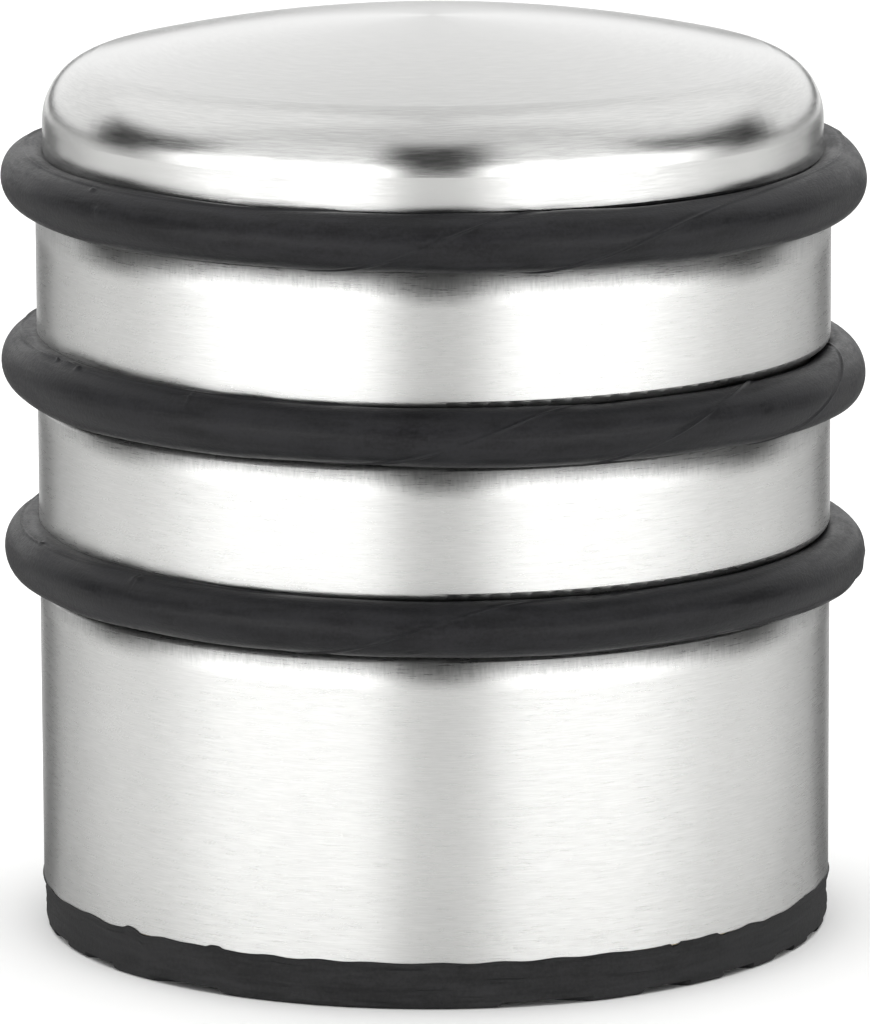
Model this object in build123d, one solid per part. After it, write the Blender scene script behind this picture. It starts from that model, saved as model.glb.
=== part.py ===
from build123d import *
import math
import os

# A free-standing weighted door stop: a stainless can that hides an iron weight, wrapped
# by three stretched rubber rings and standing on a ribbed rubber sole.
# Millimetres. +Z is up, the Z axis is the can's axis, and z = 0 is the floor.

# ---- Driving dimensions -------------------------------------------------------------
body_radius = 37.5           # outside of the tube
overall_height = 86.6        # floor to the crown of the cap
sheet = 0.7                  # stainless sheet of the tube and the cap
slip = 0.05                  # radial play between pieces that slide together
lip_radius = 0.8             # outside radius at both edges of a rolled groove

tube_bottom = 4.4            # floor to the cut bottom edge of the tube
glue_thickness = 0.15
sole_inset = 0.2             # the sole stands this far inside the tube
crown_height = 3.6           # rise of the cap's dome above its rounded edge
knuckle_radius = 6.0         # the cap's rounded edge

ring_section_radius = 2.65
ring_stand_out = 3.3         # how far a ring stands out of the tube
lower_ring_height = 35.75
ring_pitch = 17.7
groove_clearance = 0.1       # the groove's section is this much larger than the ring's

weight_radius = 34.3
weight_height = 47.0
weight_chamfer = 1.5

cup_thickness = 1.0          # pressed steel cup that closes the tube from below
cup_corner_radius = 2.0

tread_pitch = 7.3
tread_channel_width = 4.2
tread_channel_depth = 0.6
tread_channel_count = 10
tread_turn = -11.5           # degrees between the channels and the X axis
sole_edge_chamfer = 0.35

thread_radius = 3.0          # M6, threads as plain cylinders
thread_play = 0.05
stud_flange_radius = 3.8
stud_flange_height = 0.9
stud_engagement = 12.0
stud_hole_depth = 15.0
washer_radius = 6.0
washer_height = 1.6
nut_across_flats = 10.0
nut_height = 5.2
nut_chamfer = 0.6
screw_length = 18.0
screw_hole_depth = 20.0
screw_head_radius = 6.0
screw_head_land = 0.3
socket_across_flats = 4.0
socket_depth = 2.2
dimple_slope_play = 0.15

# ---- Worked-out dimensions ----------------------------------------------------------
sole_height = tube_bottom - glue_thickness
cap_radius = body_radius - sheet - slip
ring_centre_radius = body_radius + ring_stand_out - ring_section_radius
groove_section_radius = ring_section_radius + groove_clearance
groove_centre_radius = ring_centre_radius + groove_clearance
ring_heights = [lower_ring_height + step * ring_pitch for step in range(3)]
lower_z, middle_z, upper_z = ring_heights

knuckle_centre_z = overall_height - crown_height - knuckle_radius
knuckle_centre_radius = cap_radius - knuckle_radius
dome_rise = knuckle_radius + crown_height
dome_radius = (
    knuckle_centre_radius**2 + dome_rise**2 - knuckle_radius**2
) / (2 * crown_height)
dome_centre_z = overall_height - dome_radius
dome_edge_angle = math.degrees(
    math.atan2(knuckle_centre_z - dome_centre_z, knuckle_centre_radius)
)

weight_bottom = tube_bottom + cup_thickness
weight_top = weight_bottom + weight_height
nut_bottom = weight_top + washer_height
dimple_bottom = tube_bottom + screw_head_land
dimple_top_radius = thread_radius + dimple_slope_play
dimple_outer_radius = screw_head_radius + cup_thickness * math.sqrt(2)


# ---- Section helpers: points are (radius, height) -----------------------------------
def polar(centre, radius, angle):
    """The point at an angle, in degrees, on a circle about centre."""
    turn = math.radians(angle)
    return (centre[0] + radius * math.cos(turn), centre[1] + radius * math.sin(turn))


def arc(centre, radius, start, end):
    """An arc about centre, between two angles in degrees."""
    middle = (start + end) / 2
    return ThreePointArc(
        polar(centre, radius, start),
        polar(centre, radius, middle),
        polar(centre, radius, end),
    )


def lip_offset(wall_radius):
    """Height from a groove's centre to where its lip leaves a wall of this radius."""
    across = groove_centre_radius - (wall_radius - lip_radius)
    return math.sqrt((groove_section_radius + lip_radius) ** 2 - across**2)


def groove_arcs(wall_radius, height, inset):
    """Lip, groove and lip, from the bottom up, on a surface inset into the sheet."""
    rise = lip_offset(wall_radius)
    across = groove_centre_radius - (wall_radius - lip_radius)
    lean = math.degrees(math.atan2(rise, across))
    lip_centre_radius = wall_radius - lip_radius
    below = (lip_centre_radius, height - rise)
    above = (lip_centre_radius, height + rise)
    centre = (groove_centre_radius, height)
    return [
        arc(below, lip_radius - inset, 0, lean),
        arc(centre, groove_section_radius + inset, 180 + lean, 180 - lean),
        arc(above, lip_radius - inset, -lean, 0),
    ]


def join_up(edges, start, end):
    """The edges with straight lines that fill every gap from start to end."""
    path = []
    place = Vector(*start)
    for edge in edges:
        if (edge @ 0 - place).length > 1e-6:
            path.append(Line(place, edge @ 0))
        path.append(edge)
        place = edge @ 1
    if (Vector(*end) - place).length > 1e-6:
        path.append(Line(place, Vector(*end)))
    return path


def sheet_section(outer, inner):
    """A closed section between two paths that run the same way."""
    ends = [
        Line(outer[-1] @ 1, inner[-1] @ 1),
        Line(outer[0] @ 0, inner[0] @ 0),
    ]
    return make_face(Curve() + outer + inner + ends)


def spin(section):
    """A solid of revolution about Z from a section drawn as (radius, height)."""
    return revolve(Plane.XZ * section, Axis.Z)


def spin_polygon(*points):
    return spin(make_face(Polyline(*points, close=True)))


def cylinder(radius, bottom, top):
    return Pos(0, 0, bottom) * Cylinder(
        radius, top - bottom, align=(Align.CENTER, Align.CENTER, Align.MIN)
    )


def hexagon_prism(across_flats, bottom, top):
    outline = RegularPolygon(across_flats / 2, 6, major_radius=False)
    return Pos(0, 0, bottom) * extrude(outline, top - bottom)


# ---- Sub-parts ----------------------------------------------------------------------
def cap_path(inset):
    edges = groove_arcs(cap_radius, upper_z, inset)
    knuckle_centre = (knuckle_centre_radius, knuckle_centre_z)
    edges.append(arc(knuckle_centre, knuckle_radius - inset, 0, dome_edge_angle))
    edges.append(arc((0, dome_centre_z), dome_radius - inset, dome_edge_angle, 90))
    skirt_end = middle_z + lip_offset(body_radius)
    start = (cap_radius - inset, skirt_end)
    return join_up(edges, start, (0, overall_height - inset))


def top_cap():
    """Drawn cap: dome, rounded edge, upper ring's groove, and a skirt inside the tube."""
    return spin(sheet_section(cap_path(0), cap_path(sheet)))


def tube_path(inset):
    edges = groove_arcs(body_radius, lower_z, inset)
    edges += groove_arcs(body_radius, middle_z, inset)
    tube_top = upper_z - ring_section_radius
    return join_up(
        edges, (body_radius - inset, tube_bottom), (body_radius - inset, tube_top)
    )


def body_tube():
    """Straight-cut tube with two rolled grooves, whose insides stop the cap and the cup."""
    return spin(sheet_section(tube_path(0), tube_path(sheet)))


def rubber_ring(height):
    return Pos(0, 0, height) * Torus(ring_centre_radius, ring_section_radius)


def weight_core():
    """Cast iron weight, tapped at both ends and hollowed below for the cup's dimple."""
    body = cylinder(weight_radius, weight_bottom, weight_top)
    body = chamfer(body.edges().filter_by(GeomType.CIRCLE), weight_chamfer)
    body -= cylinder(thread_radius, weight_top - stud_hole_depth, weight_top)
    body -= cylinder(thread_radius, weight_bottom, weight_bottom + screw_hole_depth)
    mouth_radius = dimple_outer_radius + dimple_slope_play
    mouth_top = dimple_bottom + mouth_radius - thread_radius
    body -= spin_polygon(
        (0, dimple_bottom),
        (mouth_radius, dimple_bottom),
        (thread_radius, mouth_top),
        (0, mouth_top),
    )
    return body


def cap_stud():
    """Stud welded under the dome, with the weld flange's top fitted to the dome."""
    reach = weight_top - stud_engagement
    stud = cylinder(thread_radius - thread_play, reach, overall_height)
    flange_bottom = overall_height - sheet - stud_flange_height
    stud += cylinder(stud_flange_radius, flange_bottom, overall_height)
    under_dome = Pos(0, 0, dome_centre_z) * Sphere(dome_radius - sheet)
    return stud & under_dome


def stud_washer():
    washer = cylinder(washer_radius, weight_top, nut_bottom)
    return washer - cylinder(thread_radius + dimple_slope_play, weight_top, nut_bottom)


def stud_locknut():
    """Hexagon nut that locks the stud against the weight."""
    top = nut_bottom + nut_height
    nut = hexagon_prism(nut_across_flats, nut_bottom, top)
    corner_radius = nut_across_flats / math.sqrt(3)
    rounded = cylinder(corner_radius, nut_bottom, top)
    rounded = chamfer(rounded.edges().filter_by(GeomType.CIRCLE), nut_chamfer)
    return (nut & rounded) - cylinder(thread_radius, nut_bottom, top)


def base_cup():
    """Pressed cup inside the tube: its rim stops on the lower groove, and its floor has
    a dimple in the middle for the screw's head."""
    cup_radius = body_radius - sheet - slip
    rim = lower_z - lip_offset(body_radius)
    corner_z = tube_bottom + cup_corner_radius
    corner_centre = (cup_radius - cup_corner_radius, corner_z)
    dimple_top = dimple_bottom + screw_head_radius - dimple_top_radius
    outer = join_up(
        [arc(corner_centre, cup_corner_radius, -90, 0)],
        (screw_head_radius, tube_bottom),
        (cup_radius, rim),
    )
    inner = join_up(
        [arc(corner_centre, cup_corner_radius - cup_thickness, -90, 0)],
        (dimple_outer_radius - weight_bottom + dimple_bottom, weight_bottom),
        (cup_radius - cup_thickness, rim),
    )
    dimple = Polyline(
        inner[0] @ 0,
        (dimple_outer_radius - dimple_top + dimple_bottom, dimple_top),
        (dimple_top_radius, dimple_top),
        (screw_head_radius, dimple_bottom),
        outer[0] @ 0,
    )
    top = Line(outer[-1] @ 1, inner[-1] @ 1)
    return spin(make_face(Curve() + outer + inner + [dimple, top]))


def base_screw():
    """Countersunk socket screw that holds the cup to the weight."""
    shank_radius = thread_radius - thread_play
    screw = spin_polygon(
        (0, tube_bottom),
        (screw_head_radius, tube_bottom),
        (screw_head_radius, dimple_bottom),
        (shank_radius, dimple_bottom + screw_head_radius - shank_radius),
        (shank_radius, tube_bottom + screw_length),
        (0, tube_bottom + screw_length),
    )
    return screw - hexagon_prism(
        socket_across_flats, tube_bottom, tube_bottom + socket_depth
    )


def sole_glue():
    """Glue film that holds the sole to the cup and to the tube's cut edge."""
    return cylinder(body_radius - sole_inset, sole_height, tube_bottom)


def tread_channels():
    """Straight channels across the underside, evenly spaced about the middle."""
    channels = []
    for index in range(tread_channel_count):
        offset = (index - (tread_channel_count - 1) / 2) * tread_pitch
        channels.append(
            Pos(0, offset, 0)
            * Box(2 * body_radius, tread_channel_width, 2 * tread_channel_depth)
        )
    return Rot(0, 0, tread_turn) * Compound(children=channels)


def rubber_sole():
    """Rubber foot with a ribbed underside."""
    sole = cylinder(body_radius - sole_inset, 0, sole_height)
    sole = chamfer(sole.edges().sort_by(Axis.Z)[0], sole_edge_chamfer)
    for channel in tread_channels().solids():
        sole -= channel
    return sole


parts = {
    "top_cap": top_cap(),
    "cap_stud": cap_stud(),
    "stud_washer": stud_washer(),
    "stud_locknut": stud_locknut(),
    "body_tube": body_tube(),
    "upper_ring": rubber_ring(upper_z),
    "middle_ring": rubber_ring(middle_z),
    "lower_ring": rubber_ring(lower_z),
    "weight_core": weight_core(),
    "base_cup": base_cup(),
    "base_screw": base_screw(),
    "sole_glue": sole_glue(),
    "rubber_sole": rubber_sole(),
}

os.makedirs("parts", exist_ok=True)
for name, shape in parts.items():
    export_step(shape, f"parts/{name}.step")
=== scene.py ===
import math

import bpy
import numpy as np
from mathutils import Matrix, Vector


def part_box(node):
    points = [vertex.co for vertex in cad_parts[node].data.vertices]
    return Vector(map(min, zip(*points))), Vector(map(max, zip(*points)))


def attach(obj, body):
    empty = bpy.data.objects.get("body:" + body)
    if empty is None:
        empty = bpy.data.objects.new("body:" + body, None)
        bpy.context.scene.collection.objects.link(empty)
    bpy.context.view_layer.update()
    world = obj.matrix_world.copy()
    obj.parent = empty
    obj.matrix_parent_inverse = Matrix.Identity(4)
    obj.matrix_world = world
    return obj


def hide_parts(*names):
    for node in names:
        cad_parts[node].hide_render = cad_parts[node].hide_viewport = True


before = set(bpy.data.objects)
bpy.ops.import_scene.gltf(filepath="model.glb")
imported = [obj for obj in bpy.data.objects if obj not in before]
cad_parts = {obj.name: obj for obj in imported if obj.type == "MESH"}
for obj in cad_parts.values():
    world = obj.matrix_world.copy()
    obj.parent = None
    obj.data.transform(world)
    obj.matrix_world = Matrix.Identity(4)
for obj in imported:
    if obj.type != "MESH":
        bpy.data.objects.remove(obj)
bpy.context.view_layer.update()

MM = 0.001

# ---- Sizes that several pieces share ------------------------------------------------
tube_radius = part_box("body_tube")[1].x
# degrees that each ring sits out of level, lower on the right
ring_tilts = {"upper_ring": 0.62, "middle_ring": 1.16, "lower_ring": 0.77}


# ---- Node helpers -------------------------------------------------------------------
def add_node(tree, kind, inputs=None, **settings):
    """A node whose inputs are numbers, colours or other nodes' outputs."""
    node = tree.nodes.new(kind)
    for name, value in settings.items():
        setattr(node, name, value)
    for name, value in (inputs or {}).items():
        socket = node.inputs[name]
        if isinstance(value, bpy.types.NodeSocket):
            tree.links.new(value, socket)
        else:
            socket.default_value = value
    return node


def maths(tree, operation, *values):
    inputs = dict(enumerate(values))
    return add_node(tree, "ShaderNodeMath", inputs, operation=operation).outputs[0]


def ramp(tree, value, start, end, low=0.0, high=1.0):
    """Value mapped smoothly from start..end to low..high, and held outside it."""
    inputs = {"Value": value, 1: start, 2: end, 3: low, 4: high}
    node = add_node(tree, "ShaderNodeMapRange", inputs, interpolation_type="SMOOTHSTEP")
    return node.outputs[0]


def window(tree, value, rise, fall):
    """0 to 1 over the rise and back to 0 over the fall."""
    up = ramp(tree, value, rise[0], rise[1])
    down = ramp(tree, value, fall[0], fall[1], 1.0, 0.0)
    return maths(tree, "MULTIPLY", up, down)


def new_material(name):
    material = bpy.data.materials.new(name)
    material.use_nodes = True
    material.node_tree.nodes.clear()
    return material, material.node_tree


def finish_material(material, shader):
    tree = material.node_tree
    output = tree.nodes.new("ShaderNodeOutputMaterial")
    tree.links.new(shader.outputs[0], output.inputs["Surface"])
    return material


# ---- Materials ----------------------------------------------------------------------
def steel_place(tree):
    """Object coordinates, and the distance from the Z axis."""
    place = add_node(tree, "ShaderNodeTexCoord").outputs["Object"]
    x, y, z = add_node(tree, "ShaderNodeSeparateXYZ", {0: place}).outputs
    squares = maths(tree, "ADD", maths(tree, "MULTIPLY", x, x), maths(tree, "MULTIPLY", y, y))
    return x, y, z, maths(tree, "SQRT", squares)


def round_noise(tree, place, line_width, line_length, seed, detail=2.0):
    """Noise drawn out into lines that run round the Z axis."""
    x, y, z, radius = place
    safe_radius = maths(tree, "MAXIMUM", radius, 0.2 * MM)
    turns = tube_radius / line_length
    across = add_node(tree, "ShaderNodeCombineXYZ", {
        0: maths(tree, "MULTIPLY", maths(tree, "DIVIDE", x, safe_radius), turns),
        1: maths(tree, "MULTIPLY", maths(tree, "DIVIDE", y, safe_radius), turns),
        2: maths(tree, "MULTIPLY_ADD", z, 1 / line_width, seed),
    }).outputs[0]
    depth = maths(tree, "MULTIPLY", radius, 1 / line_width)
    return add_node(tree, "ShaderNodeTexNoise", {
        "Vector": across, "W": depth, "Scale": 1.0, "Detail": detail, "Roughness": 0.6,
    }, noise_dimensions="4D").outputs[0]


def near_rings(tree, place):
    """Two values for the steel beside the rings: how much painted shade it gets, 0 to 1,
    a thin band above each ring and a wider one below it, where the ring would block light
    from above, and how far the sheet rolls in towards the groove below each ring, in metres.
    Distances here are in millimetres down from the middle of each ring."""
    x, _, z, _ = place
    ring_top = (-3.0, -2.55)
    ring_bottom = 2.6
    shade_end = 5.4
    roll_slope = 0.42
    roll_length = 3.4
    roll_limit = 5.0
    hairs = round_noise(tree, place, 1.2 * MM, 0.25 * MM, 7.0)
    fuzz = maths(tree, "MULTIPLY_ADD", hairs, 2.4, -1.2)
    painted_shade = 0.0
    rolled = 0.0
    for node_name, tilt in ring_tilts.items():
        low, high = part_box(node_name)
        leaning = maths(tree, "MULTIPLY_ADD", x, -math.tan(math.radians(tilt)),
                        (low.z + high.z) / 2)
        drop = maths(tree, "MULTIPLY", maths(tree, "SUBTRACT", leaning, z), 1 / MM)
        fuzzy = maths(tree, "ADD", drop, fuzz)
        # painted shade: strongest next to the ring, fading out below it with a fuzzy edge
        here = maths(tree, "MULTIPLY", ramp(tree, drop, *ring_top),
                     ramp(tree, fuzzy, ring_bottom, shade_end, 1.0, 0.0))
        painted_shade = maths(tree, "ADD", here, painted_shade)
        left_over = maths(tree, "SUBTRACT", ring_bottom + roll_length, drop)
        left_over = maths(tree, "MINIMUM", maths(tree, "MAXIMUM", left_over, 0.0), roll_limit)
        below = maths(tree, "GREATER_THAN", drop, 0.0)
        depth = maths(tree, "MULTIPLY", maths(tree, "MULTIPLY", left_over, left_over), below)
        rolled = maths(tree, "MULTIPLY_ADD", depth, -0.5 * roll_slope / roll_length * MM, rolled)
    return painted_shade, rolled


def brushed_steel(name, smoothest, roughest):
    """Stainless brushed round the Z axis: fine lines that run round the wall and dome, and
    painted shade that darkens the steel beside each ring.
    """
    dull = (0.52, 0.52, 0.512, 1)
    bright = (0.61, 0.61, 0.60, 1)
    # near-black colour of the painted shade just above and below each ring
    painted_shade_colour = (0.03, 0.032, 0.036, 1)
    most_painted_shade = 0.42
    material, tree = new_material(name)
    place = steel_place(tree)
    fine = round_noise(tree, place, 0.10 * MM, 2.2 * MM, 0.0)
    coarse = round_noise(tree, place, 0.35 * MM, 5 * MM, 31.0)
    patchy = round_noise(tree, place, 5 * MM, 9 * MM, 77.0, detail=3.0)
    both = maths(tree, "MULTIPLY_ADD", coarse, 0.3, fine)
    uneven = maths(tree, "MULTIPLY_ADD", patchy, 0.3, both)
    roughness = ramp(tree, uneven, 0.5, 1.1, smoothest, roughest)
    clean = add_node(tree, "ShaderNodeMix", {
        0: ramp(tree, both, 0.4, 0.95), 6: dull, 7: bright,
    }, data_type="RGBA").outputs[2]
    # painted shade beside each ring, mixed into the base colour where the ring would block light
    # from above
    painted_shade, rolled = near_rings(tree, place)
    band = maths(tree, "MULTIPLY", painted_shade, most_painted_shade)
    colour = add_node(tree, "ShaderNodeMix", {
        0: band, 6: clean, 7: painted_shade_colour,
    }, data_type="RGBA").outputs[2]
    roll = add_node(tree, "ShaderNodeBump", {
        "Strength": 1.0, "Distance": 1.0, "Height": rolled,
    }).outputs[0]
    bump = add_node(tree, "ShaderNodeBump", {
        "Strength": 0.25, "Distance": 0.01 * MM, "Height": both, "Normal": roll,
    }).outputs[0]
    tangent = add_node(tree, "ShaderNodeTangent", direction_type="RADIAL", axis="Z")
    shader = add_node(tree, "ShaderNodeBsdfPrincipled", {
        "Base Color": colour, "Metallic": 1.0, "Roughness": roughness,
        "Anisotropic": 0.8, "Anisotropic Rotation": 0.25,
        "Normal": bump, "Tangent": tangent.outputs[0],
    })
    return finish_material(material, shader)


def rubber(name, colour, gloss_roughness):
    """Black rubber with a fine grain, a cloudy shade and streaks that run round it."""
    material, tree = new_material(name)
    place = add_node(tree, "ShaderNodeTexCoord").outputs["Object"]
    grain = add_node(tree, "ShaderNodeTexNoise", {
        "Vector": place, "Scale": 1 / (0.35 * MM), "Detail": 4.0, "Roughness": 0.6,
    }).outputs[0]
    cloud = add_node(tree, "ShaderNodeTexNoise", {
        "Vector": place, "Scale": 1 / (5 * MM), "Detail": 3.0, "Roughness": 0.55,
    }).outputs[0]
    streaks = round_noise(tree, steel_place(tree), 0.9 * MM, 5 * MM, 13.0, detail=3.0)
    mixed = maths(tree, "MULTIPLY_ADD", cloud, 0.8, grain)
    shade = ramp(tree, maths(tree, "MULTIPLY_ADD", streaks, 1.2, mixed), 1.1, 1.9)
    dark = tuple(0.7 * c for c in colour) + (1,)
    light = tuple(1.6 * c for c in colour) + (1,)
    tint = add_node(tree, "ShaderNodeMix", {0: shade, 6: dark, 7: light},
                    data_type="RGBA").outputs[2]
    roughness = ramp(tree, maths(tree, "ADD", streaks, mixed), 1.1, 1.8,
                     gloss_roughness - 0.08, gloss_roughness + 0.1)
    relief = maths(tree, "MULTIPLY_ADD", streaks, 2.5, grain)
    bump = add_node(tree, "ShaderNodeBump", {
        "Strength": 0.6, "Distance": 0.05 * MM, "Height": relief,
    }).outputs[0]
    shader = add_node(tree, "ShaderNodeBsdfPrincipled", {
        "Base Color": tint, "Roughness": roughness, "Normal": bump,
        "Specular IOR Level": 0.5, "IOR": 1.25,
    })
    return finish_material(material, shader)


def bare_metal(name, dark, light, metallic, roughness, grain_size, bump_height):
    """Unbrushed metal or glue: cloudy colour over a fine grain."""
    material, tree = new_material(name)
    place = add_node(tree, "ShaderNodeTexCoord").outputs["Object"]
    grain = add_node(tree, "ShaderNodeTexNoise", {
        "Vector": place, "Scale": 1 / grain_size, "Detail": 5.0, "Roughness": 0.6,
    }).outputs[0]
    cloud = add_node(tree, "ShaderNodeTexNoise", {
        "Vector": place, "Scale": 1 / (12 * grain_size), "Detail": 2.0,
    }).outputs[0]
    mixed = maths(tree, "MULTIPLY_ADD", cloud, 0.8, grain)
    colour = add_node(tree, "ShaderNodeMix", {
        0: ramp(tree, mixed, 0.6, 1.2), 6: dark + (1,), 7: light + (1,),
    }, data_type="RGBA").outputs[2]
    bump = add_node(tree, "ShaderNodeBump", {
        "Strength": 0.5, "Distance": bump_height, "Height": grain,
    }).outputs[0]
    shader = add_node(tree, "ShaderNodeBsdfPrincipled", {
        "Base Color": colour, "Metallic": metallic, "Normal": bump,
        "Roughness": ramp(tree, mixed, 0.5, 1.3, roughness - 0.08, roughness + 0.08),
    })
    return finish_material(material, shader)


tube_steel = brushed_steel("brushed_tube_steel", 0.26, 0.33)
cap_steel = brushed_steel("brushed_cap_steel", 0.18, 0.24)
iron = bare_metal("cast_iron", (0.09, 0.085, 0.08), (0.2, 0.19, 0.18), 0.8, 0.6,
                  0.8 * MM, 0.08 * MM)
zinc = bare_metal("zinc_plated_steel", (0.52, 0.55, 0.58), (0.68, 0.7, 0.7), 1.0, 0.3,
                  0.5 * MM, 0.01 * MM)
glue = bare_metal("contact_glue", (0.45, 0.36, 0.2), (0.62, 0.54, 0.36), 0.0, 0.4,
                  1.0 * MM, 0.05 * MM)
ring_black = rubber("ring_rubber", (0.0095, 0.0095, 0.0105), 0.42)
sole_black = rubber("sole_rubber", (0.016, 0.016, 0.0165), 0.6)

finishes = {
    "top_cap": cap_steel,
    "body_tube": tube_steel,
    "upper_ring": ring_black,
    "middle_ring": ring_black,
    "lower_ring": ring_black,
    "rubber_sole": sole_black,
    "weight_core": iron,
    "base_cup": zinc,
    "base_screw": zinc,
    "cap_stud": zinc,
    "stud_washer": zinc,
    "stud_locknut": zinc,
    "sole_glue": glue,
}
for node_name, cad_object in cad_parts.items():
    cad_object.data.materials.clear()
    cad_object.data.materials.append(finishes[node_name])


# ---- Mesh helpers -------------------------------------------------------------------
def grid_faces(rows, columns, wrap_rows, wrap_columns):
    """Quads of a grid of points that are numbered row by row."""
    row = np.arange(rows if wrap_rows else rows - 1)
    column = np.arange(columns if wrap_columns else columns - 1)
    r, c = np.meshgrid(row, column, indexing="ij")
    r, c = r.ravel(), c.ravel()
    r_next, c_next = (r + 1) % rows, (c + 1) % columns
    corners = [r * columns + c, r_next * columns + c,
               r_next * columns + c_next, r * columns + c_next]
    return np.stack(corners, -1)


def mesh_object(name, points, faces, material):
    mesh = bpy.data.meshes.new(name)
    mesh.from_pydata(points.tolist(), [], [list(face) for face in faces])
    mesh.polygons.foreach_set("use_smooth", [True] * len(mesh.polygons))
    mesh.materials.append(material)
    mesh.update()
    made = bpy.data.objects.new(name, mesh)
    bpy.context.scene.collection.objects.link(made)
    return made


def angle_from(angles, degrees):
    """How far the angles are from one in degrees, within half a turn either way."""
    return np.mod(angles - math.radians(degrees) + math.pi, 2 * math.pi) - math.pi


def wave_noise(seed, angles, lowest, highest, count):
    """Smooth noise round a closed turn, about 1 high, from a few random waves."""
    draws = np.random.default_rng(seed)
    total = np.zeros_like(angles)
    for _ in range(count):
        cycles = draws.integers(lowest, highest + 1)
        total += draws.normal() * np.cos(cycles * angles + draws.uniform(0, 2 * math.pi))
    return total * math.sqrt(2 / count)


# ---- Rubber rings -------------------------------------------------------------------
def closed_curve(knots, angles):
    """Smooth values round a turn through (angle, value) knots in degrees. The last knot
    is one turn after the first."""
    places = np.radians([k[0] for k in knots])
    values = np.array([k[1] for k in knots], float)
    turned = places[0] + np.mod(angles - places[0], 2 * math.pi)
    index = np.clip(np.searchsorted(places, turned, side="right") - 1, 0, len(knots) - 2)
    share = (turned - places[index]) / (places[index + 1] - places[index])
    before = np.diff(values) / np.diff(places)
    wrapped = np.concatenate([[before[-1]], before, [before[0]]])
    slopes = (wrapped[:-1] + wrapped[1:]) / 2
    span = places[index + 1] - places[index]
    h = share * share * (3 - 2 * share)
    ease_in = share * (1 - share) ** 2 * span * slopes[index]
    ease_out = share**2 * (share - 1) * span * slopes[index + 1]
    return values[index] * (1 - h) + values[index + 1] * h + ease_in + ease_out


def mould_line(across):
    """Height of a mould line at a distance across it: a ridge of flash, the groove beside
    it, and the small step between the mould's halves, which fades out."""
    ridge = 0.15 * MM * np.exp(-((across / (0.09 * MM)) ** 2))
    groove = -0.09 * MM * np.exp(-(((across - 0.26 * MM) / (0.13 * MM)) ** 2))
    step = 0.035 * MM * np.tanh(across / (0.3 * MM))
    fade = np.exp(-((across / (1.6 * MM)) ** 2))
    return ridge + groove + step * fade


def surface_marks(marks, bearings, angles, centre_radius, section):
    """Height of the crumbs, smears and nicks. Each has its bearing, its angle round the
    section (0 outward, 90 up), its length, width and height in millimetres, and its slant.
    All of them stand taller than listed by the same factor."""
    height_factor = 1.5
    total = np.zeros_like(bearings)
    for bearing, section_angle, length, width, height, slant in marks:
        along = angle_from(bearings, bearing) * centre_radius / MM
        across = angle_from(angles, section_angle) * section / MM
        lean = math.radians(slant)
        u = along * math.cos(lean) + across * math.sin(lean)
        v = -along * math.sin(lean) + across * math.cos(lean)
        total += height_factor * height * MM * np.exp(-((u / length) ** 2) - ((v / width) ** 2))
    return total


def rubber_ring(node_name, seed, twist_knots, tall_knots, rise_knots, marks):
    """A stretched cord ring. Bearings are degrees from the front, to the right, and each
    knot is a bearing with its value there. The cord's two mould lines, half a turn apart,
    wind round its section with its twist, in degrees. It's pulled thinner or left fuller
    along its way by its tall knots, and rises by its rise knots, in millimetres."""
    low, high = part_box(node_name)
    section = (high.z - low.z) / 2
    centre_radius = high.x - section
    middle = (high.z + low.z) / 2
    steps = 1300
    bearings = np.arange(steps) * 2 * math.pi / steps - math.pi
    twist = np.radians(closed_curve(twist_knots, bearings))
    tall = closed_curve(tall_knots, bearings)
    rise = MM * closed_curve(rise_knots, bearings)

    # round the cord, closer together at the two mould lines
    half = 36
    even = (np.arange(half) - half / 2) / (half / 2)
    packed = np.sign(even) * (0.35 * np.abs(even) + 0.65 * np.abs(even) ** 2.2)
    around = np.concatenate([packed, packed + 2]) * math.pi / 2
    b, a = np.meshgrid(bearings, around, indexing="ij")
    off_line = np.mod(a + math.pi / 2, math.pi) - math.pi / 2
    side = np.where(np.mod(a + math.pi / 2, 2 * math.pi) < math.pi, 1.0, -1.0)

    line_strength = 0.75 + 0.25 * wave_noise(seed, b, 5, 40, 8)
    line_strength = np.clip(line_strength, 0.25, 1.3) * np.where(side > 0, 1.0, 0.8)
    lines = mould_line(off_line * section) * line_strength
    waves = 0.035 * MM * wave_noise(seed + 1, b + 0.3 * np.sin(a), 3, 14, 6)
    flat = 0.03 * MM * wave_noise(seed + 2, b, 2, 9, 5) * np.cos(2 * a)
    angle = a + twist[:, None]
    worn = surface_marks(marks, b, angle, centre_radius, section)

    radius = section + (lines + waves + flat + worn)
    out = centre_radius + radius * np.cos(angle)
    up = radius * np.sin(angle) * tall[:, None] + rise[:, None]
    x = out * np.sin(b)
    y = -out * np.cos(b)
    z = middle + up - math.tan(math.radians(ring_tilts[node_name])) * x
    points = np.stack([x, y, z], -1).reshape(-1, 3)
    faces = grid_faces(steps, 2 * half, True, True)
    ring = mesh_object(node_name + "_cord", points, faces, ring_black)
    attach(ring, "root")
    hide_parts(node_name)


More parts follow.
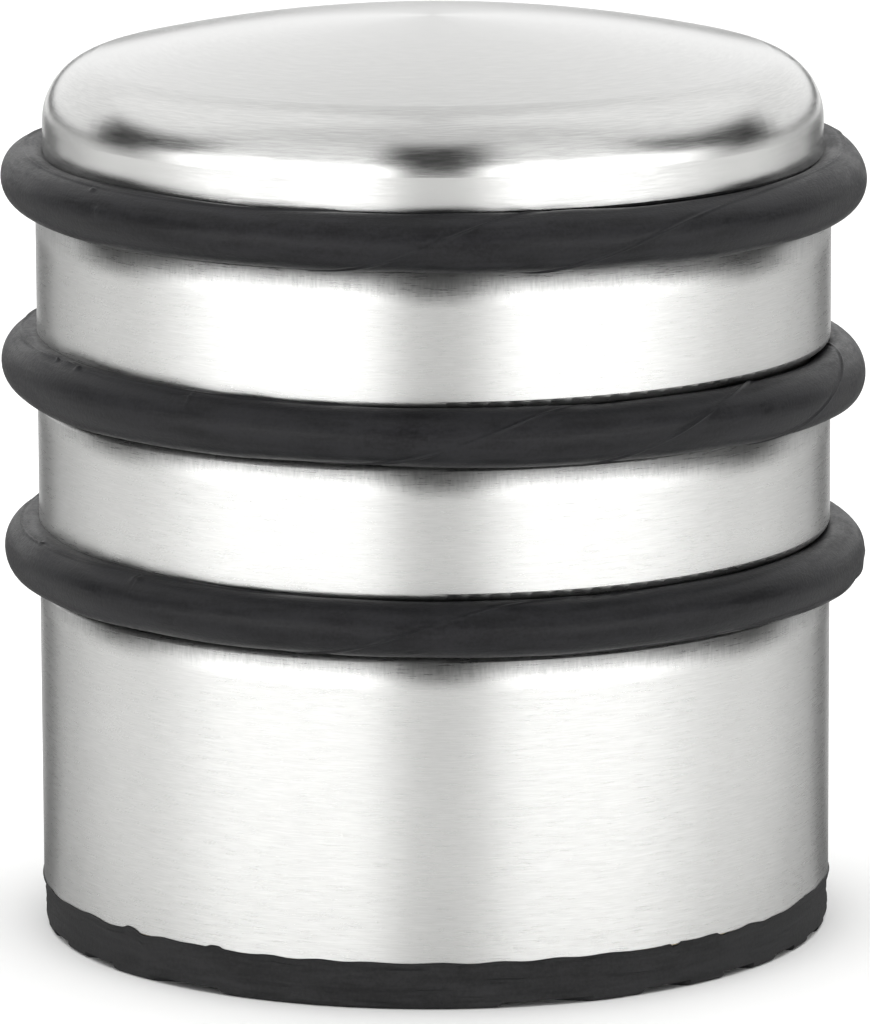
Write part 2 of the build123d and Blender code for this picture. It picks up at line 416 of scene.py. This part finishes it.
rubber_ring(
    "upper_ring", seed=11,
    twist_knots=[(-180, 60), (-130, 75), (-74, 80), (-40, 72), (-15, 104), (2, 200), (22, 330),
                 (45, 425), (80, 440), (120, 420), (180, 420)],
    tall_knots=[(-180, 1.0), (-90, 0.99), (-45, 1.05), (-18, 0.99), (17, 1.04), (31, 1.02),
                (60, 1.05), (90, 1.15), (180, 1.0)],
    rise_knots=[(-180, 0.3), (-90, 0.32), (-45, 0.08), (-18, 0.08), (17, 0.15), (40, 0.15),
                (90, 0.6), (180, 0.3)],
    marks=[(-28, -12, 3.2, 0.10, 0.06, 22), (14, 40, 2.2, 0.09, 0.07, 30),
           (-52, 62, 0.35, 0.2, 0.12, 0), (-49, 20, 0.3, 0.2, 0.10, 0),
           (18, -38, 1.8, 0.09, 0.06, 24), (150, 30, 2.6, 0.1, 0.07, -20),
           (-120, 10, 0.4, 0.25, 0.12, 0)],
)
rubber_ring(
    "middle_ring", seed=23,
    twist_knots=[(-180, 30), (-120, 62), (-60, 74), (-22, 86), (-10, 108), (7, 195), (37, 380),
                 (67, 560), (95, 690), (130, 740), (180, 750)],
    tall_knots=[(-180, 1.0), (-90, 1.12), (-33, 1.06), (-18, 1.0), (17, 1.04), (31, 1.01),
                (60, 1.06), (90, 1.15), (180, 1.0)],
    rise_knots=[(-180, 0.0), (-90, 0.06), (-33, 0.02), (-18, 0.08), (17, 0.12), (40, 0.28),
                (90, 0.15), (180, 0.0)],
    marks=[(-60, 76, 1.1, 0.5, 0.10, 8), (-57, 70, 0.3, 0.25, 0.16, 0),
           (-63, 72, 0.25, 0.2, 0.12, 0), (-34, 58, 0.12, 0.8, 0.07, 0),
           (-34, 58, 0.8, 0.12, 0.07, 10), (20, 60, 0.5, 0.12, 0.06, 15),
           (22, 52, 0.4, 0.10, 0.05, -20), (165, 20, 2.0, 0.12, 0.06, 15)],
)
rubber_ring(
    "lower_ring", seed=37,
    twist_knots=[(-180, 95), (-110, 78), (-74, 62), (-58, 66), (-40, 82), (-20, 97), (-2, 190),
                 (14, 262), (40, 300), (75, 332), (120, 400), (180, 455)],
    tall_knots=[(-180, 1.0), (-90, 1.1), (-33, 1.0), (-18, 0.98), (17, 0.98), (31, 0.97),
                (60, 1.02), (90, 1.12), (180, 1.0)],
    rise_knots=[(-180, 0.0), (-90, 0.17), (-18, 0.1), (17, 0.12), (40, 0.35), (90, 0.15),
                (180, 0.0)],
    marks=[(-44, 62, 0.5, 0.5, 0.14, 0), (-44, 60, 0.1, 0.9, -0.08, 0),
           (-69, 66, 0.3, 0.2, 0.12, 0), (32, 30, 0.3, 0.2, 0.10, 0),
           (5, 25, 0.9, 0.5, 0.04, 0), (-3, -48, 2.0, 0.10, 0.06, 24),
           (140, 40, 0.5, 0.4, 0.10, 0)],
)


# ---- Rubber sole --------------------------------------------------------------------
def bumps_round(marks, bearings):
    """Flat-topped bumps: bearing and half width in degrees, height in millimetres."""
    total = np.zeros_like(bearings)
    for bearing, half_width, height in marks:
        away = angle_from(bearings, bearing)
        total += height * MM * np.exp(-((away / math.radians(half_width)) ** 4))
    return total


def channel_cutter(turn, pitch, width, depth, count, length, seed):
    """Wavy, slightly tapered bars that cut the sole's tread channels."""
    stations = 70
    taper = 0.15 * MM
    along = np.linspace(-length / 2, length / 2, stations)
    points, faces = [], []
    for index in range(count):
        middle = (index - (count - 1) / 2) * pitch
        waves = [0.05 * MM * wave_noise(seed + 10 * index + k, along / length * 2, 2, 22, 8)
                 for k in range(3)]
        near = middle - width / 2 + waves[0]
        far = middle + width / 2 + waves[1]
        roof = depth + 0.4 * waves[2]
        below = np.full(stations, -2 * depth)
        corners = [(near - taper, below), (far + taper, below), (far - taper, roof),
                   (near + taper, roof)]
        bar = np.stack([np.stack([along, y, z], -1) for y, z in corners], 1)
        first = len(points) * 4
        points.extend(bar)
        sides = grid_faces(stations, 4, False, True) + first
        faces.extend([list(face[::-1]) for face in sides])
        faces.append([first + 3, first + 2, first + 1, first])
        last = first + 4 * (stations - 1)
        faces.append([last, last + 1, last + 2, last + 3])
    bars = np.concatenate(points)
    c, s = math.cos(math.radians(turn)), math.sin(math.radians(turn))
    turned = np.stack([bars[:, 0] * c - bars[:, 1] * s, bars[:, 0] * s + bars[:, 1] * c,
                       bars[:, 2]], -1)
    return mesh_object("tread_cutter", turned, faces, sole_black)


def sole_rows(edge, top, bearings):
    """The sole's outline from the middle of its top to the middle of its bottom, as rows
    of radius and height: a ragged top lip that creeps up the tube in places, a streaky
    wall, and a soft bottom edge."""
    skin = 0.03 * MM
    lip_rise = 0.22 * MM
    bottom_radius = 0.5 * MM
    foot_reach = 0.6
    lip = bumps_round([(-49, 1.6, 0.32), (-33, 1.2, 0.25), (-62, 4, 0.08), (74, 10, 0.42),
                       (52, 2, 0.1), (-120, 12, 0.3), (150, 9, 0.35)], bearings)
    nicks = bumps_round([(36, 0.7, 0.3), (45, 0.8, 0.22), (-140, 0.8, 0.3)], bearings)
    ragged = 0.05 * MM * wave_noise(5, bearings, 8, 60, 12)
    lip_top = np.maximum(top + lip_rise + lip + ragged - nicks, top - 0.1 * MM)
    outer = tube_radius + skin
    foot = bumps_round([(23, 5, 0.25), (-52, 6, 0.12), (100, 14, 0.2)], bearings)

    ones = np.ones_like(bearings)
    rows = [(share * edge * ones, top * ones) for share in (0.3, 0.6, 0.85, 0.95, 0.985)]
    rows.append((outer * ones, np.minimum(top, lip_top)))
    rows.append((outer * ones, lip_top))
    rows.append((outer * ones + 0.08 * MM, lip_top - 0.03 * MM))
    wall_rows = 22
    for index in range(wall_rows):
        share = (index + 0.5) / wall_rows
        streak = 0.022 * MM * wave_noise(100 + index, bearings, 2, 30, 10)
        streak += 0.03 * MM * wave_noise(200 + index // 3, bearings, 1, 9, 6)
        spread = 0.1 * MM * (1 - share) ** 3
        height = (lip_top - 0.12 * MM) * (1 - share) + bottom_radius * share
        rows.append((edge + spread + foot_reach * foot * share**3 + streak, height))
    for degrees in (20, 45, 70, 90):
        turn = math.radians(degrees)
        rows.append((edge + foot_reach * foot - bottom_radius * (1 - math.cos(turn)),
                     bottom_radius * (1 - math.sin(turn)) * ones))
    rows.extend((share * edge * ones, 0 * ones) for share in (0.95, 0.7, 0.4, 0.15))
    return rows


def rubber_sole():
    """The moulded sole, with its tread channels cut through it."""
    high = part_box("rubber_sole")[1]
    edge, top = high.x, high.z
    steps = 1080
    bearings = np.arange(steps) * 2 * math.pi / steps - math.pi
    rows = sole_rows(edge, top, bearings)
    radius = np.array([row[0] for row in rows])
    height = np.array([row[1] for row in rows])
    x = radius * np.sin(bearings)
    y = -radius * np.cos(bearings)
    points = np.stack([x, y, height], -1).reshape(-1, 3)
    faces = [list(face) for face in grid_faces(len(rows), steps, False, True)]
    points = np.concatenate([points, [[0, 0, top], [0, 0, 0]]])
    top_centre, bottom_centre = len(points) - 2, len(points) - 1
    last = (len(rows) - 1) * steps
    for index in range(steps):
        following = (index + 1) % steps
        faces.append([top_centre, index, following])
        faces.append([bottom_centre, last + following, last + index])

    sole = mesh_object("rubber_sole_moulding", points, faces, sole_black)
    cutter = channel_cutter(turn=-11.5, pitch=7.3 * MM, width=4.2 * MM, depth=0.6 * MM,
                            count=10, length=2.2 * edge, seed=300)
    cut = sole.modifiers.new("channels", "BOOLEAN")
    cut.operation = "DIFFERENCE"
    cut.solver = "EXACT"
    cut.object = cutter
    graph = bpy.context.evaluated_depsgraph_get()
    carved = bpy.data.meshes.new_from_object(sole.evaluated_get(graph))
    sole.modifiers.clear()
    sole.data = carved
    sole.data.set_sharp_from_angle(angle=math.radians(40))
    bpy.data.objects.remove(cutter)
    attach(sole, "root")
    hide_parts("rubber_sole")


rubber_sole()


# ---- Floor --------------------------------------------------------------------------
def floor():
    size = 4.0
    cells = 8
    mesh = bpy.data.meshes.new("floor")
    steps = [size * (i / cells - 0.5) for i in range(cells + 1)]
    points = [(x, y, 0) for y in steps for x in steps]
    row = cells + 1
    faces = [
        (j * row + i, j * row + i + 1, (j + 1) * row + i + 1, (j + 1) * row + i)
        for j in range(cells) for i in range(cells)
    ]
    mesh.from_pydata(points, [], faces)
    floor_object = bpy.data.objects.new("floor", mesh)
    bpy.context.scene.collection.objects.link(floor_object)
    material, tree = new_material("pale_floor")
    shader = add_node(tree, "ShaderNodeBsdfDiffuse", {"Color": (0.86, 0.86, 0.855, 1)})
    mesh.materials.append(finish_material(material, shader))


floor()


# ---- Light --------------------------------------------------------------------------
def studio():
    """A plain room round the object. Bearings are degrees from the front, to the right."""
    panel_strength = 7.0
    glow_strength = 1.1
    wall_strength = 1.15
    fill_strength = 0.03
    world = bpy.data.worlds.new("studio")
    bpy.context.scene.world = world
    world.use_nodes = True
    tree = world.node_tree
    tree.nodes.clear()
    way = add_node(tree, "ShaderNodeTexCoord").outputs["Generated"]
    xyz = add_node(tree, "ShaderNodeSeparateXYZ", {0: way}).outputs
    forward = maths(tree, "MULTIPLY", xyz[1], -1.0)
    bearing = maths(tree, "DEGREES", maths(tree, "ARCTAN2", xyz[0], forward))
    turned = maths(tree, "ABSOLUTE", bearing)
    height = maths(tree, "DEGREES", maths(tree, "ARCSINE", xyz[2]))

    # the bright ceiling comes lower at the sides and back than in front
    ceiling_height = maths(tree, "ADD", height, ramp(tree, turned, 15, 95, 0.0, 21.0))
    side_gain = maths(tree, "MULTIPLY_ADD", window(tree, turned, (50, 105), (140, 175)), 0.35, 0.95)
    ceiling = maths(tree, "MULTIPLY", ramp(tree, ceiling_height, 40, 54), side_gain)
    back_wall = maths(tree, "MULTIPLY", ramp(tree, turned, 108, 128, 0.0, wall_strength),
                      window(tree, height, (0, 4), (35, 62)))
    # two rows of panels that stand on the floor, and their softer glow above
    row_left = window(tree, bearing, (-102, -54), (-22, -3))
    row_right = window(tree, bearing, (5, 29), (56, 102))
    rows = maths(tree, "MULTIPLY", maths(tree, "ADD", row_left, row_right),
                 ramp(tree, height, 3, 8, panel_strength, 0.0))
    glow_left = window(tree, bearing, (-84, -58), (-22, -8))
    glow_right = window(tree, bearing, (8, 27), (52, 76))
    glow = maths(tree, "MULTIPLY", maths(tree, "ADD", glow_left, glow_right),
                 ramp(tree, height, 44, 56, glow_strength, 0.0))
    panels = maths(tree, "ADD", rows, glow)
    room = maths(tree, "MAXIMUM", ceiling, back_wall)
    total = maths(tree, "ADD", maths(tree, "MAXIMUM", room, panels), fill_strength)
    background = add_node(tree, "ShaderNodeBackground", {
        "Color": (1, 1, 1, 1), "Strength": total,
    })
    output = tree.nodes.new("ShaderNodeOutputWorld")
    tree.links.new(background.outputs[0], output.inputs["Surface"])


def painted_floor_shadow():
    """Painted shadows: two dark patches on the floor beside and behind the can, where the can's own
    shadow falls, seen only in reflections.
    """
    size = 1.6
    near_shift = 2.2
    corners = [(x * size / 2, y * size / 2, 0.3 * MM) for x, y in
               [(-1, -1), (1, -1), (1, 1), (-1, 1)]]
    mesh = bpy.data.meshes.new("painted_floor_shadow")
    mesh.from_pydata(corners, [], [(0, 1, 2, 3)])
    card = bpy.data.objects.new("painted_floor_shadow", mesh)
    bpy.context.scene.collection.objects.link(card)
    material, tree = new_material("painted_floor_shadow")
    x, y, z, radius = steel_place(tree)
    forward = maths(tree, "MULTIPLY", y, -1.0)
    bearing = maths(tree, "DEGREES", maths(tree, "ARCTAN2", x, forward))
    turned = maths(tree, "ABSOLUTE", bearing)
    # the wall mirrors nearby floor at smaller bearings than floor far away, by degrees
    # that grow as one over the distance in metres
    seen = maths(tree, "ADD", turned, maths(tree, "DIVIDE", near_shift, radius))
    # painted shadow of the can on the floor, set by bearing
    wide = maths(tree, "MULTIPLY", window(tree, seen, (105, 140), (168, 185)), 0.5)
    edge = maths(tree, "MULTIPLY", window(tree, seen, (138, 152), (159, 169)), 0.36)
    share = maths(tree, "ADD", wide, edge)
    clear = add_node(tree, "ShaderNodeBsdfTransparent").outputs[0]
    dark = add_node(tree, "ShaderNodeBsdfDiffuse", {"Color": (0.02, 0.02, 0.02, 1)}).outputs[0]
    mixed = add_node(tree, "ShaderNodeMixShader", {0: share, 1: clear, 2: dark})
    mesh.materials.append(finish_material(material, mixed))
    card.visible_camera = False
    card.visible_diffuse = False
    card.visible_shadow = False


def overhead_light():
    size = 1.4
    radiance = 1.8
    data = bpy.data.lights.new("overhead", "AREA")
    data.size = size
    data.energy = radiance * math.pi * size**2
    light = bpy.data.objects.new("overhead", data)
    light.location = (0, 0, 1.2)
    light.visible_glossy = False
    bpy.context.scene.collection.objects.link(light)


studio()
painted_floor_shadow()
overhead_light()


# ---- Camera -------------------------------------------------------------------------
def camera():
    image_height = 1024
    distance = 0.8
    depression = math.radians(11.4)
    roll = math.radians(-0.25)
    target = Vector((0, 0, 39.0 * MM))
    data = bpy.data.cameras.new("camera")
    data.sensor_width = 36
    data.lens = 296.2
    data.clip_start = 0.01
    camera_object = bpy.data.objects.new("camera", data)
    back = Vector((0, -math.cos(depression), math.sin(depression)))
    turn = (-back).to_track_quat("-Z", "Y").to_matrix().to_4x4()
    spin = Matrix.Rotation(roll, 4, "Z")
    camera_object.matrix_world = Matrix.Translation(target + back * distance) @ turn @ spin
    data.shift_x = 0.4 / image_height
    bpy.context.scene.collection.objects.link(camera_object)
    bpy.context.scene.camera = camera_object


camera()
bpy.context.scene.view_settings.view_transform = "Standard"
